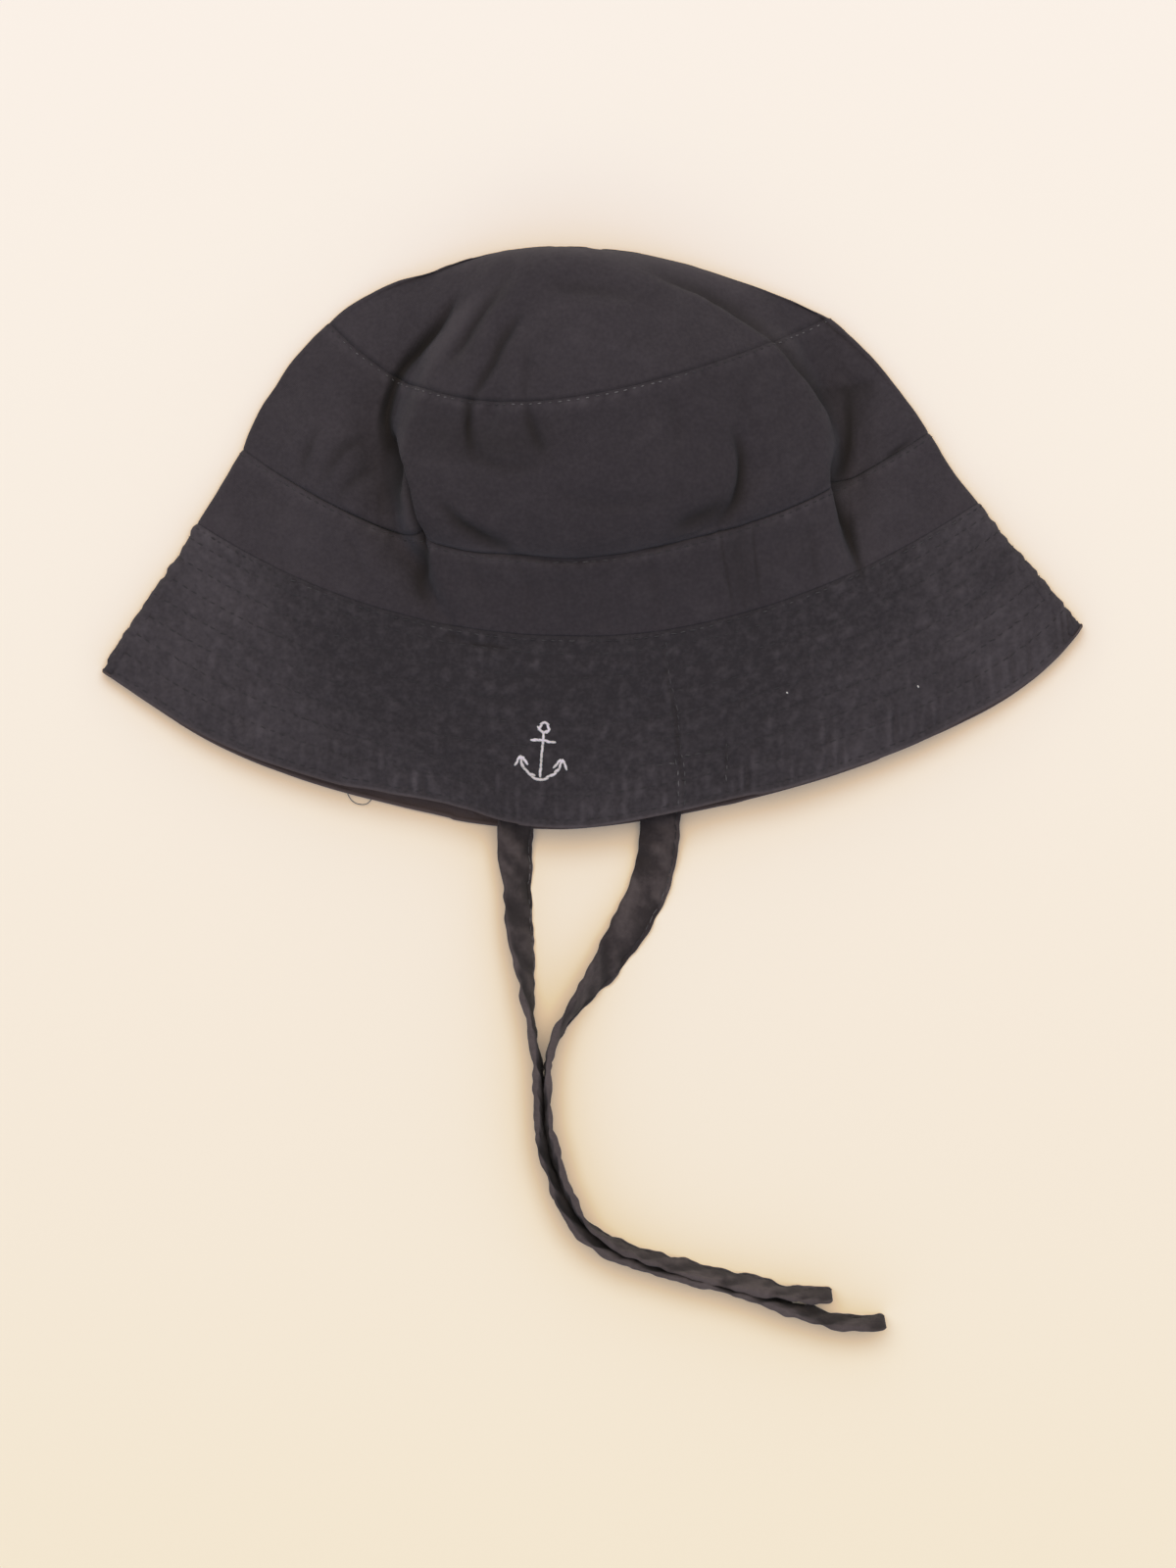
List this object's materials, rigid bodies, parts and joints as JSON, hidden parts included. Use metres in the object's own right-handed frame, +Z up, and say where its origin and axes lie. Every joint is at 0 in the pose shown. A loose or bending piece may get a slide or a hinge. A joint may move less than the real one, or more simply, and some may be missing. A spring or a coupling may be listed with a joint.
{
  "type": "bucket sun hat with chin ties",
  "caption": "Toddler's cotton bucket sun hat with a quilted brim, a banded crown and two sewn chin ties, laid flat on its back with its ties on the surface.",
  "frame": {"origin": "middle of the hat's flat outline, without its ties, on the surface that it lies on", "axes": "+X to the right across the brim, +Y towards the top of the crown, +Z up from the surface"},
  "size_m": [0.2756, 0.3035, 0.0376],
  "materials": {
    "crown_cotton": "washed dark navy cotton, matt",
    "brim_cotton": "washed dark navy cotton, quilted, matt",
    "tie_cotton": "washed dark navy cotton, matt",
    "navy_thread": "matt sewing thread",
    "white_thread": "satin embroidery thread"
  },
  "bodies": {
    "root": {"brim": "brim_cotton", "band": "crown_cotton", "side_panel": "crown_cotton", "crown_tip": "crown_cotton", "tie_upper": "tie_cotton", "tie_lower": "tie_cotton"}
  },
  "joints": []
}
